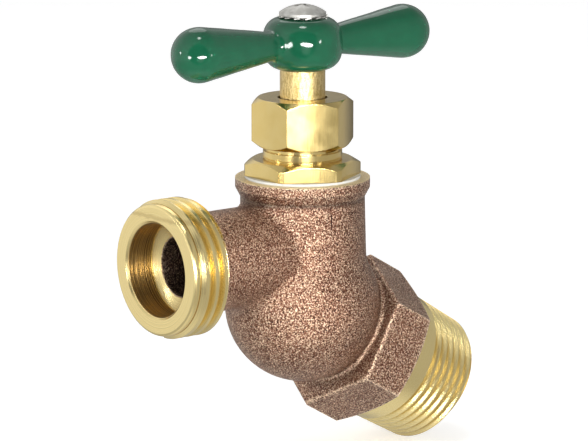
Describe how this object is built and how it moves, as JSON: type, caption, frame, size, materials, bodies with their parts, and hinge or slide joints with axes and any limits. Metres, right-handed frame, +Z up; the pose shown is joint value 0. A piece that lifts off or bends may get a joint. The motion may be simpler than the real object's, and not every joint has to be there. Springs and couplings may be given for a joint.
{
  "type": "hose bibb",
  "caption": "Hose bibb with a slanted male pipe inlet, a male hose outlet, a screwed bonnet and packing nut, and a tee handle that raises a washered disc off its seat.",
  "frame": {"origin": "centre of the inlet's open end face", "axes": "+Z up along the stem, as the picture shows the tap; the outlet points along -Y; the inlet leaves along +Y and 30 degrees down; YZ is the plane of symmetry. On a wall the inlet is level, so the stem leans out and the outlet points 30 degrees down"},
  "size_m": [0.0302, 0.0734, 0.0892],
  "materials": {
    "cast_bronze": "rough sand-cast skin, with bright machined threads and faces",
    "polished_brass": "polished",
    "turned_brass": "turned, satin",
    "green_enamel": "thick gloss enamel on die-cast metal",
    "plated_steel": "zinc plated, satin",
    "white_fibre": "plain white fibre",
    "packing_fibre": "dark packing",
    "black_rubber": "matte"
  },
  "bodies": {
    "valve": {"valve_body": "cast_bronze", "bonnet_gasket": "white_fibre", "bonnet": "polished_brass", "packing_ring": "packing_fibre", "packing_gland": "turned_brass", "packing_nut": "polished_brass"},
    "disc": {"disc_holder": "turned_brass", "seat_washer": "black_rubber", "seat_washer_screw": "turned_brass"},
    "spindle": {"stem": "turned_brass", "handle": "green_enamel", "handle_lock_washer": "plated_steel", "handle_screw": "plated_steel"}
  },
  "joints": [
    {"name": "disc_lift", "type": "slide", "parent": "valve", "child": "disc", "axis": [0, 0, 1], "range_m": [0, 0.005]},
    {"name": "stem_turn", "type": "hinge", "parent": "disc", "child": "spindle", "pos_m": [0, -0.03161, 0.03065], "axis": [0, 0, 1], "range_deg": [0, 720]}
  ],
  "couplings": [
    {"joint": "disc_lift", "follows": "stem_turn", "m_per_rad": 0.00039789}
  ]
}
